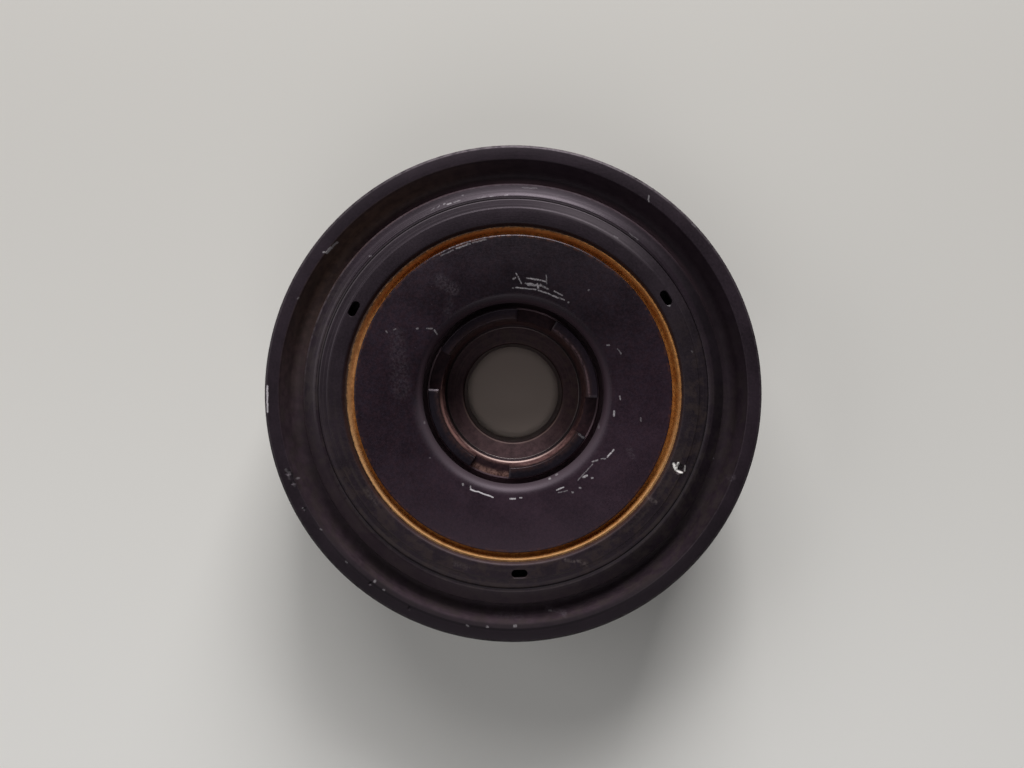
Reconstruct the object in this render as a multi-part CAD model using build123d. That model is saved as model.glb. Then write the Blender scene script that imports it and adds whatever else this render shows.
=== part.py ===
from build123d import *

import os
from math import cos, radians, sin, tan

# Crankshaft harmonic balancer: a turned hub core that slips over the crank nose, a hub disc pressed on
# that core, a bonded rubber ring, an inertia ring, and a six-rib pulley ring pressed over it.
# Millimetres. The part stands on the nose end at z = 0, its axis is +Z and its front looks up.
# A depth is measured back from the front face of the rim.

# ---- driving dimensions ----

overall_length = 50.0           # nose end to the front face of the rim

# pulley ring, cast iron
pulley_radius = 82.5            # rim outside
rim_width = 28.0                # rim, front face to rear face
rim_face_width = 4.8            # front face of the rim, outside to inside edge
rim_chamfer_width = 0.9
rim_chamfer_depth = 0.6
rim_rear_chamfer = 0.8
rim_edge_round = 0.4            # inside edge of the front face
rim_wall_draft = 15.0           # degrees, inner wall of the rim
front_valley_width = 7.0        # from the rim's inside edge to the ridge
front_valley_depth = 9.4
valley_fillet = 3.0             # where the rim wall meets the valley floor
ridge_foot_fillet = 1.2
ridge_width = 5.6               # from its outer wall to the joint with the inertia ring
ridge_crest_depth = 2.0
ridge_crest_width = 1.0         # level land beside the joint with the inertia ring
ridge_shoulder_depth = 4.6      # where the sloping top meets the ridge's outer wall
ridge_crest_round = 1.2
ridge_shoulder_round = 0.7
web_thickness = 7.0             # between the front and rear valleys
body_depth = 27.0               # rear face of the ridge and of the inertia ring
rear_valley_inset = 1.6         # how far the rear valley stays inside the ridge's outer wall
rear_rim_wall = 3.4             # metal left under the groove bottoms at the rear
rear_valley_fillet = 2.0

# belt grooves, six ribs
rib_count = 6
rib_pitch = 3.56
groove_angle = 40.0             # degrees, both flanks together
groove_depth = 2.9
groove_bottom_width = 0.7
rib_tip_drop = 0.8              # rib tips below the rim outside
front_flange_width = 3.4        # rim face to the first groove's upper edge

# inertia ring, cast iron
joint_edge_round = 0.5          # both edges at the joint
land_width = 3.25               # from the joint to the level face
land_slope = 5.0                # degrees, of the land down towards the joint
face_chamfer_width = 0.5        # between the land and the level face
face_chamfer_drop = 0.25
ring_face_width = 6.25          # from the face chamfer to the ring's bore
ring_face_depth = 1.6
bore_lip_width = 1.4            # rounded chamfer at the front of that bore
bore_lip_depth = 2.6
ring_rear_chamfer = 0.8

# three pockets in the face of the inertia ring
pocket_count = 3
pocket_inset = 1.75             # centre of a pocket from the face's outer edge
pocket_length = 5.3
pocket_width = 2.65
pocket_depth = 6.0
pocket_first_angle = 32.0       # degrees from +X

# hub disc, turned steel
disc_thickness = 3.6
disc_face_depth = 2.0
flange_rear_depth = 26.0        # flange that the rubber grips
flange_edge_round = 0.6
lip_radius = 30.6               # inside of the front lip
lip_rear_depth = 7.0
relief_radius = 32.8            # turned out behind the lip
neck_wall = 3.2                 # outside the relief
neck_radius = 31.0              # inside of the neck, which grips the hub core
neck_rear_depth = 26.0
lip_round = 3.6                 # front lip, from the face down to its inside
lip_rear_round = 0.5
inside_round = 1.5              # rear corners of the disc

# rubber ring
rubber_thickness = 2.4
rubber_front_depth = 4.4        # at its edges
rubber_rear_depth = 25.0
rubber_hollow = 0.7             # how far its ends sink between the edges

# hub core, turned steel
lug_count = 4
lug_front_depth = 9.0
lug_outer_radius = 29.0
slot_floor_depth = 15.0
barrel_radius = 29.8            # below the lugs, with a gap to the disc's lip
barrel_rear_depth = 20.0        # floor of that gap, where the neck starts
slot_width = 28.0               # degrees at the axis
slot_first_angle = 73.0         # degrees from +X, middle of a slot
lug_edge_chamfer = 0.3
recess_front_radius = 25.5      # mouth of the tapered recess
recess_floor_radius = 23.75
seat_depth = 25.0               # washer seat under the crank bolt
bore_radius = 17.5
bore_front_chamfer = 0.65
bore_front_chamfer_depth = 1.0
bore_rear_chamfer = 0.8
stop_radius = 33.4              # shoulder behind the neck
stop_thickness = 5.0
stop_edge_chamfer = 0.6
journal_radius = 24.0           # seal journal on the nose
journal_root_round = 1.5
journal_lead_width = 1.0        # lead-in chamfer at the nose end
journal_lead_length = 3.0

# radii that follow from the rim's, ring by ring inwards
rim_inner_radius = pulley_radius - rim_face_width
ridge_outer_radius = rim_inner_radius - front_valley_width
joint_radius = ridge_outer_radius - ridge_width
ring_face_outer_radius = joint_radius - land_width
pocket_radius = ring_face_outer_radius - pocket_inset
rubber_outer_radius = ring_face_outer_radius - ring_face_width
flange_radius = rubber_outer_radius - rubber_thickness


def at(radius, depth):
    """A point of the half section: radius from the axis, depth behind the rim's front face."""
    return (radius, overall_length - depth)


def corner_at(sketch, radius, depth):
    """The corner of a half section nearest to a radius and a depth."""
    target = Vector(*at(radius, depth))
    return sketch.vertices().sort_by_distance(target)[0]


def half_section(points, rounds=(), hollows=()):
    """Close the points into a face and round its corners; a hollow bows one edge by a rise."""
    edges = []
    count = len(points)
    rises = dict(hollows)
    for index in range(count):
        start = points[index]
        end = points[(index + 1) % count]
        if index in rises:
            middle = ((start[0] + end[0]) / 2, (start[1] + end[1]) / 2 + rises[index])
            edges.append(ThreePointArc(start, middle, end))
        else:
            edges.append(Line(start, end))
    section = make_face(edges)
    for radius, depth, size in rounds:
        section = fillet(corner_at(section, radius, depth), size)
    return section


def turned(section):
    """Turn a half section about +Z."""
    return revolve(Plane.XZ * section, Axis.Z, 360)


# ---- pulley ring ----

def belt_groove_points():
    """Rim outside, from the rear to the front, with the belt grooves between two flanges."""
    tip_radius = pulley_radius - rib_tip_drop
    bottom_radius = tip_radius - groove_depth
    flank = groove_depth * tan(radians(groove_angle / 2))
    points = []
    for groove in reversed(range(rib_count)):
        middle = front_flange_width + rib_pitch * (groove + 0.5)
        half_bottom = groove_bottom_width / 2
        points.append(at(tip_radius, middle + half_bottom + flank))
        points.append(at(bottom_radius, middle + half_bottom))
        points.append(at(bottom_radius, middle - half_bottom))
        points.append(at(tip_radius, middle - half_bottom - flank))
    first_flank = points[0]
    last_flank = points[-1]
    points.insert(0, (first_flank[0] + rib_tip_drop, first_flank[1] - rib_tip_drop))
    points.append((last_flank[0] + rib_tip_drop, last_flank[1] + rib_tip_drop))
    return points


def pulley_ring():
    """Rim with its belt grooves, thin web, and the ridge that is pressed over the inertia ring."""
    valley_wall_radius = rim_inner_radius - front_valley_depth * tan(radians(rim_wall_draft))
    rear_valley_depth = front_valley_depth + web_thickness
    rear_wall_radius = pulley_radius - rib_tip_drop - groove_depth - rear_rim_wall
    rear_ridge_radius = ridge_outer_radius - rear_valley_inset
    points = [
        at(joint_radius, body_depth),
        at(rear_ridge_radius, body_depth),
        at(rear_ridge_radius, rear_valley_depth),
        at(rear_wall_radius, rear_valley_depth),
        at(rear_wall_radius, rim_width),
        at(pulley_radius - rim_rear_chamfer, rim_width),
        at(pulley_radius, rim_width - rim_rear_chamfer),
    ]
    points += belt_groove_points()
    points += [
        at(pulley_radius, rim_chamfer_depth),
        at(pulley_radius - rim_chamfer_width, 0),
        at(rim_inner_radius, 0),
        at(valley_wall_radius, front_valley_depth),
        at(ridge_outer_radius, front_valley_depth),
        at(ridge_outer_radius, ridge_shoulder_depth),
        at(joint_radius + ridge_crest_width, ridge_crest_depth),
        at(joint_radius, ridge_crest_depth),
    ]
    rounds = [
        (rear_ridge_radius, rear_valley_depth, rear_valley_fillet),
        (rear_wall_radius, rear_valley_depth, rear_valley_fillet),
        (rim_inner_radius, 0, rim_edge_round),
        (valley_wall_radius, front_valley_depth, valley_fillet),
        (ridge_outer_radius, front_valley_depth, ridge_foot_fillet),
        (ridge_outer_radius, ridge_shoulder_depth, ridge_shoulder_round),
        (joint_radius + ridge_crest_width, ridge_crest_depth, ridge_crest_round),
        (joint_radius, ridge_crest_depth, joint_edge_round),
    ]
    return turned(half_section(points, rounds))


# ---- inertia ring ----

def ring_pockets():
    """Round-ended pockets, long way round the ring, spaced evenly."""
    outline = SlotOverall(pocket_length, pocket_width, rotation=90)
    floor = overall_length - ring_face_depth - pocket_depth
    cutter = extrude(Plane.XY.offset(floor) * Pos(pocket_radius, 0) * outline, pocket_depth * 2)
    pockets = []
    for index in range(pocket_count):
        pockets.append(Rot(0, 0, pocket_first_angle + index * 360 / pocket_count) * cutter)
    return pockets


def inertia_ring():
    """Heavy ring round the rubber, with a level face, three pockets and a sloping outer land."""
    land_inner_radius = ring_face_outer_radius + face_chamfer_width
    land_inner_depth = ring_face_depth + face_chamfer_drop
    land_outer_depth = land_inner_depth + (joint_radius - land_inner_radius) * tan(radians(land_slope))
    points = [
        at(rubber_outer_radius + ring_rear_chamfer, body_depth),
        at(joint_radius, body_depth),
        at(joint_radius, land_outer_depth),
        at(land_inner_radius, land_inner_depth),
        at(ring_face_outer_radius, ring_face_depth),
        at(rubber_outer_radius + bore_lip_width, ring_face_depth),
        at(rubber_outer_radius, ring_face_depth + bore_lip_depth),
        at(rubber_outer_radius, body_depth - ring_rear_chamfer),
    ]
    lip_blend = (bore_lip_width + bore_lip_depth) / 2
    rounds = [
        (joint_radius, land_outer_depth, joint_edge_round),
        (rubber_outer_radius + bore_lip_width, ring_face_depth, lip_blend / 2),
        (rubber_outer_radius, ring_face_depth + bore_lip_depth, lip_blend),
    ]
    return turned(half_section(points, rounds)) - ring_pockets()


# ---- rubber ring ----

def damper_rubber():
    """Rubber between the disc's flange and the inertia ring, hollow at both ends."""
    points = [
        at(flange_radius, rubber_rear_depth),
        at(rubber_outer_radius, rubber_rear_depth),
        at(rubber_outer_radius, rubber_front_depth),
        at(flange_radius, rubber_front_depth),
    ]
    hollows = [(0, rubber_hollow), (2, -rubber_hollow)]
    return turned(half_section(points, (), hollows))


# ---- hub disc ----

def hub_disc():
    """Level disc with a deep outer flange, a rounded lip round its hole, and a neck on the core."""
    disc_rear_depth = disc_face_depth + disc_thickness
    flange_inner_radius = flange_radius - disc_thickness
    neck_outer_radius = relief_radius + neck_wall
    points = [
        at(neck_radius, barrel_rear_depth),
        at(neck_radius, neck_rear_depth),
        at(neck_outer_radius, neck_rear_depth),
        at(neck_outer_radius, disc_rear_depth),
        at(flange_inner_radius, disc_rear_depth),
        at(flange_inner_radius, flange_rear_depth),
        at(flange_radius, flange_rear_depth),
        at(flange_radius, disc_face_depth),
        at(lip_radius, disc_face_depth),
        at(lip_radius, lip_rear_depth),
        at(relief_radius, lip_rear_depth),
        at(relief_radius, barrel_rear_depth),
    ]
    rounds = [
        (neck_outer_radius, disc_rear_depth, inside_round),
        (flange_inner_radius, disc_rear_depth, inside_round),
        (flange_radius, disc_face_depth, flange_edge_round),
        (lip_radius, disc_face_depth, lip_round),
        (lip_radius, lip_rear_depth, lip_rear_round),
    ]
    return turned(half_section(points, rounds))


# ---- hub core ----

def slot_cutters():
    """Wedges that part the front ring of the core into lugs."""
    reach = neck_radius * 2
    half = radians(slot_width / 2)
    wedge = make_face([
        Line((0, 0), (reach * cos(half), -reach * sin(half))),
        Line((reach * cos(half), -reach * sin(half)), (reach * cos(half), reach * sin(half))),
        Line((reach * cos(half), reach * sin(half)), (0, 0)),
    ])
    floor = overall_length - slot_floor_depth
    cutter = extrude(Plane.XY.offset(floor) * wedge, slot_floor_depth)
    cutters = []
    for index in range(lug_count):
        cutters.append(Rot(0, 0, slot_first_angle + index * 360 / lug_count) * cutter)
    return cutters


def hub_core():
    """Core with four driving lugs, a tapered recess, the washer seat, the bore and the nose."""
    stop_rear_depth = neck_rear_depth + stop_thickness
    seat_edge_radius = bore_radius + bore_front_chamfer
    points = [
        at(bore_radius, overall_length - bore_rear_chamfer),
        at(bore_radius + bore_rear_chamfer, overall_length),
        at(journal_radius - journal_lead_width, overall_length),
        at(journal_radius, overall_length - journal_lead_length),
        at(journal_radius, stop_rear_depth),
        at(stop_radius - stop_edge_chamfer, stop_rear_depth),
        at(stop_radius, stop_rear_depth - stop_edge_chamfer),
        at(stop_radius, neck_rear_depth),
        at(neck_radius, neck_rear_depth),
        at(neck_radius, barrel_rear_depth),
        at(barrel_radius, barrel_rear_depth),
        at(barrel_radius, slot_floor_depth),
        at(lug_outer_radius, slot_floor_depth),
        at(lug_outer_radius, lug_front_depth + lug_edge_chamfer),
        at(lug_outer_radius - lug_edge_chamfer, lug_front_depth),
        at(recess_front_radius, lug_front_depth),
        at(recess_floor_radius, seat_depth),
        at(seat_edge_radius, seat_depth),
        at(bore_radius, seat_depth + bore_front_chamfer_depth),
    ]
    rounds = [
        (journal_radius, stop_rear_depth, journal_root_round),
    ]
    return turned(half_section(points, rounds)) - slot_cutters()


pieces = {
    "pulley_ring": pulley_ring(),
    "inertia_ring": inertia_ring(),
    "damper_rubber": damper_rubber(),
    "hub_disc": hub_disc(),
    "hub_core": hub_core(),
}

os.makedirs("parts", exist_ok=True)
for name, shape in pieces.items():
    export_step(shape, f"parts/{name}.step")
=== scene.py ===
"""Looks of the harmonic balancer, standing on its nose with its front face up."""
from functools import reduce
from math import atan, cos, hypot, pi, radians, sin, tan, tau

import bmesh
import bpy
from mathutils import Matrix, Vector, noise


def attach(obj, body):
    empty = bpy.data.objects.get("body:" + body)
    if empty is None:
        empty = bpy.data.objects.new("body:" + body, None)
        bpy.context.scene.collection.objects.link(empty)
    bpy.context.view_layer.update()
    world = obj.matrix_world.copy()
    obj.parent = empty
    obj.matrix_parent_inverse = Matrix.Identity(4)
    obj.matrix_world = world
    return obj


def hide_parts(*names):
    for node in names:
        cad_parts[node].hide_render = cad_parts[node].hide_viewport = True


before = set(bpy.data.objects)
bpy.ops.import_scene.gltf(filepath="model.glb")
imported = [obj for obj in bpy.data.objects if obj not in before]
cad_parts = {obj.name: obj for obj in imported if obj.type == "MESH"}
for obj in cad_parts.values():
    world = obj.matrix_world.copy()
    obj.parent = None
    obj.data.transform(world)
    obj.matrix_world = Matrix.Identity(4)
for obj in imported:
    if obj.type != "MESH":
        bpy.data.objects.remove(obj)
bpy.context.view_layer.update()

MM = 0.001                      # sizes below are in millimetres
BODY = "root"

# ---- section sizes; a depth is measured back from the front face of the rim ----

overall_length = 50

pulley_radius = 82.5
rim_width = 28
rim_face_width = 4.8
rim_chamfer_width = 0.9
rim_chamfer_depth = 0.6
rim_rear_chamfer = 0.8
rim_chamfer_round = 0.3
rim_edge_round = 0.4
rim_wall_draft = 15
front_valley_width = 7
front_valley_depth = 9.4
valley_fillet = 3
ridge_foot_fillet = 1.2
ridge_width = 5.6
ridge_crest_depth = 2
ridge_crest_width = 1
ridge_shoulder_depth = 4.6
ridge_crest_round = 1.2
ridge_shoulder_round = 0.7
web_thickness = 7
body_depth = 27
rear_valley_inset = 1.6
rear_rim_wall = 3.4
rear_valley_fillet = 2

rib_count = 6
rib_pitch = 3.56
groove_angle = 40
groove_depth = 2.9
groove_bottom_width = 0.7
rib_tip_drop = 0.8
front_flange_width = 3.4

joint_edge_round = 0.5
land_width = 3.25
ring_face_width = 6.25
ring_face_depth = 1.6
face_chamfer_width = 0.5
face_chamfer_drop = 0.25
face_chamfer_round = 0.3
land_slope = 5
bore_lip_width = 1.4
bore_lip_depth = 2.6
ring_rear_chamfer = 0.8

pocket_angles = (32, 152, 272)
pocket_inset = 1.75
pocket_length = 5.3
pocket_width = 2.65
pocket_depth = 6
pocket_edge = 0.15

disc_thickness = 3.6
disc_face_depth = 2
flange_rear_depth = 26
flange_edge_round = 0.6
lip_radius = 30.6
lip_rear_depth = 7
relief_radius = 32.8
neck_wall = 3.2
neck_radius = 31
neck_rear_depth = 26
lip_round = 3.6
lip_rear_round = 0.5
inside_round = 1.5

rubber_thickness = 2.4
rubber_front_depth = 4.4
rubber_rear_depth = 25
rubber_hollow = 0.7
bead_width = 1.3
bead_rise = 1.9
bead_overlap = 0.7
bead_edge_height = 0.4
bead_foot_drop = 0.6
dust_lump_height = 0.15

slot_angles = (73, 163, 253, 343)
slot_width = 28
lug_front_depth = 9
lug_outer_radius = 29
lug_edge_chamfer = 0.3
recess_front_round = 0.3
recess_floor_round = 0.4
slot_floor_depth = 15
barrel_radius = 29.8
barrel_rear_depth = 20
barrel_foot_round = 0.2
recess_front_radius = 25.5
recess_floor_radius = 23.75
seat_depth = 25
bore_radius = 17.5
bore_front_chamfer = 0.65
bore_front_chamfer_depth = 1
bore_edge_round = 0.15
bore_rear_chamfer = 0.8
stop_radius = 33.4
stop_thickness = 5
stop_edge_chamfer = 0.6
journal_radius = 24
journal_root_round = 1.5
journal_lead_width = 1
journal_lead_length = 3

camera_distance = 300
far_out = 99                    # beyond every radius

rim_inner_radius = pulley_radius - rim_face_width
ridge_outer_radius = rim_inner_radius - front_valley_width
joint_radius = ridge_outer_radius - ridge_width
ring_face_outer_radius = joint_radius - land_width
pocket_radius = ring_face_outer_radius - pocket_inset
rubber_outer_radius = ring_face_outer_radius - ring_face_width
flange_radius = rubber_outer_radius - rubber_thickness


# ---- turning, by drawing a half section and spinning it ----

def set_mode(mode):
    bpy.ops.object.mode_set(mode=mode)


def select_mesh():
    bpy.ops.mesh.select_all(action="SELECT")


def place(radius, depth):
    """A point of the half section, in metres."""
    return Vector((radius * MM, 0, (overall_length - depth) * MM))


def select_vertices(piece, wanted):
    """In edit mode, select the vertices whose place is wanted, and what lies between them."""
    mesh = bmesh.from_edit_mesh(piece.data)
    for vertex in mesh.verts:
        vertex.select = wanted(vertex.co)
    mesh.select_flush_mode()
    bmesh.update_edit_mesh(piece.data)


def draw_outline(name, corners):
    """A closed wire outline, drawn corner by corner; leaves the new piece in edit mode."""
    bpy.ops.mesh.primitive_plane_add(size=MM)
    piece = bpy.context.object
    piece.name = name
    piece.data.name = name
    set_mode("EDIT")
    bpy.ops.mesh.select_mode(type="VERT")
    bpy.ops.mesh.merge(type="CENTER")
    bpy.ops.transform.translate(value=corners[0])
    here = corners[0]
    for corner in corners[1:]:
        extrude(corner - here)
        here = corner
    ends = (corners[0], corners[-1])
    select_vertices(piece, lambda co: min((co - end).length for end in ends) < 1e-6)
    bpy.ops.mesh.edge_face_add()
    return piece


def extrude(move):
    """Extrude what is selected by a move in metres."""
    bpy.ops.mesh.extrude_region_move(TRANSFORM_OT_translate={"value": move})


def round_corner(piece, corners, index, size, segments):
    """Round one corner of the outline to a radius of size millimetres."""
    corner = corners[index]
    before = (corners[index - 1] - corner).normalized()
    after = (corners[(index + 1) % len(corners)] - corner).normalized()
    reach = size * MM / tan(before.angle(after) / 2)
    select_vertices(piece, lambda co: (co - corner).length < 1e-6)
    bpy.ops.mesh.bevel(offset=reach, segments=segments, affect="VERTICES")


def turned(name, corners, steps):
    """A turned piece. A corner is (radius, depth), and a rounded one adds (size, segments)."""
    points = [place(*corner[:2]) for corner in corners]
    piece = draw_outline(name, points)
    for index, corner in enumerate(corners):
        if len(corner) > 2:
            round_corner(piece, points, index, *corner[2:])
    select_mesh()
    bpy.ops.transform.rotate(value=-pi / steps, orient_axis="Z", center_override=(0, 0, 0))
    bpy.ops.mesh.spin(steps=steps, angle=tau, center=(0, 0, 0), axis=(0, 0, 1))
    select_mesh()
    bpy.ops.mesh.remove_doubles(threshold=1e-6)
    bpy.ops.mesh.normals_make_consistent(inside=False)
    set_mode("OBJECT")
    return piece


def activate(piece):
    """Select the piece alone, for the operators that follow."""
    bpy.ops.object.select_all(action="DESELECT")
    piece.select_set(True)
    bpy.context.view_layer.objects.active = piece


def close_cutter(cutter, angle):
    """Turn a cutter clockwise to its angle, seen from the front, and leave edit mode."""
    select_mesh()
    bpy.ops.mesh.normals_make_consistent(inside=False)
    bpy.ops.transform.rotate(value=-radians(angle), orient_axis="Z", center_override=(0, 0, 0))
    set_mode("OBJECT")
    return cutter


def cut(piece, cutter):
    """Take the cutter's shape out of the piece and delete the cutter."""
    activate(piece)
    modifier = piece.modifiers.new("cut", "BOOLEAN")
    modifier.operation = "DIFFERENCE"
    modifier.solver = "EXACT"
    modifier.object = cutter
    bpy.ops.object.modifier_apply(modifier=modifier.name)
    bpy.data.objects.remove(cutter)


dent_zone = 5                   # dents lie within this depth of the front
face_zone = 4                   # and so do the corners of the faces that are divided for them
face_search = 14                # a face that reaches a dent has its first corner within this of it


def select_faces_near(piece, middle, reach):
    """In edit mode, select the front faces that come within reach of the middle."""
    mesh = bmesh.from_edit_mesh(piece.data)
    front = max(vertex.co.z for vertex in mesh.verts) - face_zone * MM
    for face in mesh.faces:
        corner = face.verts[0].co
        face.select = False
        near = abs(corner.x - middle.x) + abs(corner.y - middle.y) < face_search * MM
        if near and corner.z > front:
            xs = [vertex.co.x for vertex in face.verts]
            ys = [vertex.co.y for vertex in face.verts]
            beside = max(min(xs) - middle.x, middle.x - max(xs), min(ys) - middle.y, middle.y - max(ys))
            face.select = beside < reach and face.normal.z > 0.2
    mesh.select_flush_mode()
    bmesh.update_edit_mesh(piece.data)


def press_dents(piece, dents):
    """Press uneven dents into the front; each is (x, y, reach, depth, burr) in millimetres."""
    activate(piece)
    set_mode("EDIT")
    bpy.ops.mesh.select_mode(type="FACE")
    for x, y, reach, depth, burr in dents:
        for cuts in (5, 2):
            select_faces_near(piece, Vector((x, y, 0)) * MM, 1.2 * reach * MM)
            bpy.ops.mesh.subdivide(number_cuts=cuts)
    bpy.ops.mesh.select_mode(type="VERT")
    set_mode("OBJECT")
    burr_middle, burr_half = 1.05, 0.3          # as shares of the dent's reach
    coarse_grain, fine_grain = 900, 1500        # per metre
    for x, y, reach, depth, burr in dents:
        middle = Vector((x, y, 0)) * MM
        for vertex in piece.data.vertices:
            away = vertex.co - middle
            away.z = 0
            share = away.length / (reach * MM)
            if share > 1.6 or vertex.co.z < (overall_length - dent_zone) * MM:
                continue
            share /= 0.85 + 0.5 * noise.noise(away.normalized() * 1.3 + middle * coarse_grain)
            hollow = max(0, 1 - share * share) * (1 + 0.6 * noise.noise(vertex.co * fine_grain))
            ridge = burr * max(0, 1 - abs(share - burr_middle) / burr_half)
            vertex.co.z += (ridge - depth * hollow) * MM


def smooth(piece, degrees=32):
    """Shade the piece smooth, but for edges sharper than the angle."""
    activate(piece)
    bpy.ops.object.shade_smooth_by_angle(angle=radians(degrees))


def finish_piece(piece, node, material):
    """The piece stands in for the node of the same form and takes the given material; the node is hidden.
    """
    piece.data.materials.clear()
    piece.data.materials.append(material)
    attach(piece, BODY)
    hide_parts(node)


# ---- the five pieces ----

def belt_groove_corners():
    """The belt's V grooves, from the rear one to the front one, between sloping flange edges."""
    tip_radius = pulley_radius - rib_tip_drop
    bottom_radius = tip_radius - groove_depth
    flank = groove_depth * tan(radians(groove_angle / 2))
    corners = []
    for groove in reversed(range(rib_count)):
        middle = front_flange_width + rib_pitch * (groove + 0.5)
        half_bottom = groove_bottom_width / 2
        corners += [
            (tip_radius, middle + half_bottom + flank),
            (bottom_radius, middle + half_bottom),
            (bottom_radius, middle - half_bottom),
            (tip_radius, middle - half_bottom - flank),
        ]
    rear_flange = (pulley_radius, corners[0][1] + rib_tip_drop)
    front_flange = (pulley_radius, corners[-1][1] - rib_tip_drop)
    return [rear_flange, *corners, front_flange]


def pulley_ring_piece():
    wall_foot_radius = rim_inner_radius - front_valley_depth * tan(radians(rim_wall_draft))
    rear_valley_depth = front_valley_depth + web_thickness
    rear_wall_radius = pulley_radius - rib_tip_drop - groove_depth - rear_rim_wall
    rear_ridge_radius = ridge_outer_radius - rear_valley_inset
    crest_radius = joint_radius + ridge_crest_width
    corners = [
        (joint_radius, body_depth),
        (rear_ridge_radius, body_depth),
        (rear_ridge_radius, rear_valley_depth, rear_valley_fillet, 4),
        (rear_wall_radius, rear_valley_depth, rear_valley_fillet, 4),
        (rear_wall_radius, rim_width),
        (pulley_radius - rim_rear_chamfer, rim_width),
        (pulley_radius, rim_width - rim_rear_chamfer),
        *belt_groove_corners(),
        (pulley_radius, rim_chamfer_depth, rim_chamfer_round, 2),
        (pulley_radius - rim_chamfer_width, 0, rim_chamfer_round, 2),
        (rim_inner_radius, 0, rim_edge_round, 4),
        (wall_foot_radius, front_valley_depth, valley_fillet, 8),
        (ridge_outer_radius, front_valley_depth, ridge_foot_fillet, 4),
        (ridge_outer_radius, ridge_shoulder_depth, ridge_shoulder_round, 5),
        (crest_radius, ridge_crest_depth, ridge_crest_round, 4),
        (joint_radius, ridge_crest_depth, joint_edge_round, 5),
    ]
    return turned("pulley", corners, steps=720)


def obround_cutter(angle):
    """A round-ended cutter over one pocket, a little wider at the mouth."""
    mouth = (overall_length - ring_face_depth) * MM
    half_straight = (pocket_length - pocket_width) / 2 * MM
    bpy.ops.mesh.primitive_circle_add(vertices=32, radius=pocket_width / 2 * MM, fill_type="NGON",
                                      location=(pocket_radius * MM, 0, mouth - pocket_depth * MM))
    cutter = bpy.context.object
    bpy.ops.object.transform_apply(location=True)
    set_mode("EDIT")
    for side in (1, -1):
        select_vertices(cutter, lambda co: side * co.y > 1e-5)
        bpy.ops.transform.translate(value=(0, side * half_straight, 0))
    select_mesh()
    extrude((0, 0, (pocket_depth - pocket_edge) * MM))
    extrude((0, 0, 2 * pocket_edge * MM))
    widening, lengthening = (1 + 4 * pocket_edge / size for size in (pocket_width, pocket_length))
    bpy.ops.transform.resize(value=(widening, lengthening, 1))
    return close_cutter(cutter, angle)


def inertia_ring_piece():
    land_inner_radius = ring_face_outer_radius + face_chamfer_width
    land_inner_depth = ring_face_depth + face_chamfer_drop
    land_fall = (joint_radius - land_inner_radius) * tan(radians(land_slope))
    lip_radius_outer = rubber_outer_radius + bore_lip_width
    lip_foot_depth = ring_face_depth + bore_lip_depth
    lip_blend = (bore_lip_width + bore_lip_depth) / 2
    corners = [
        (rubber_outer_radius + ring_rear_chamfer, body_depth),
        (joint_radius, body_depth),
        (joint_radius, land_inner_depth + land_fall, joint_edge_round, 5),
        (land_inner_radius, land_inner_depth, face_chamfer_round, 2),
        (ring_face_outer_radius, ring_face_depth, face_chamfer_round, 2),
        (lip_radius_outer, ring_face_depth, lip_blend / 2, 4),
        (rubber_outer_radius, lip_foot_depth, lip_blend, 5),
        (rubber_outer_radius, body_depth - ring_rear_chamfer),
    ]
    piece = turned("inertia", corners, steps=540)
    for angle in pocket_angles:
        cut(piece, obround_cutter(angle))
    return piece


def rubber_piece():
    """Rubber ring with hollow ends; dust has caked on its front and in a bead along the outer edge."""
    across = 14
    front = []
    for index in range(across + 1):
        share = index / across
        radius = flange_radius + share * (rubber_outer_radius - flange_radius)
        into_bead = max(0, radius - rubber_outer_radius + bead_width) / bead_width
        rise = bead_rise * into_bead * into_bead * (3 - 2 * into_bead)
        front.append((radius, rubber_front_depth + rubber_hollow * 4 * share * (1 - share) - rise))
    crest_depth = rubber_front_depth - bead_rise
    corners = [
        (rubber_outer_radius + bead_overlap, crest_depth + bead_edge_height),
        (rubber_outer_radius, rubber_front_depth + bead_foot_drop),
        (rubber_outer_radius, rubber_rear_depth),
        ((rubber_outer_radius + flange_radius) / 2, rubber_rear_depth - rubber_hollow),
        (flange_radius, rubber_rear_depth),
        *front,
    ]
    piece = turned("rubber", corners, steps=720)
    middle_height = (overall_length - (rubber_front_depth + rubber_rear_depth) / 2) * MM
    coarse_lumps, fine_lumps = 600, 1700        # per metre
    for vertex in piece.data.vertices:
        radius = hypot(vertex.co.x, vertex.co.y) / MM
        inside = radius - flange_radius
        if vertex.co.z > middle_height and inside > 0.05:
            lumps = noise.noise(vertex.co * coarse_lumps) + 0.5 * noise.noise(vertex.co * fine_lumps)
            vertex.co.z += dust_lump_height * MM * lumps * min(1, inside / 0.5)
    return piece


def hub_disc_piece():
    disc_rear_depth = disc_face_depth + disc_thickness
    flange_inner_radius = flange_radius - disc_thickness
    neck_outer_radius = relief_radius + neck_wall
    corners = [
        (neck_radius, barrel_rear_depth),
        (neck_radius, neck_rear_depth),
        (neck_outer_radius, neck_rear_depth),
        (neck_outer_radius, disc_rear_depth, inside_round, 4),
        (flange_inner_radius, disc_rear_depth, inside_round, 4),
        (flange_inner_radius, flange_rear_depth),
        (flange_radius, flange_rear_depth),
        (flange_radius, disc_face_depth, flange_edge_round, 4),
        (lip_radius, disc_face_depth, lip_round, 12),
        (lip_radius, lip_rear_depth, lip_rear_round, 4),
        (relief_radius, lip_rear_depth),
        (relief_radius, barrel_rear_depth),
    ]
    return turned("disc", corners, steps=480)


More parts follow.
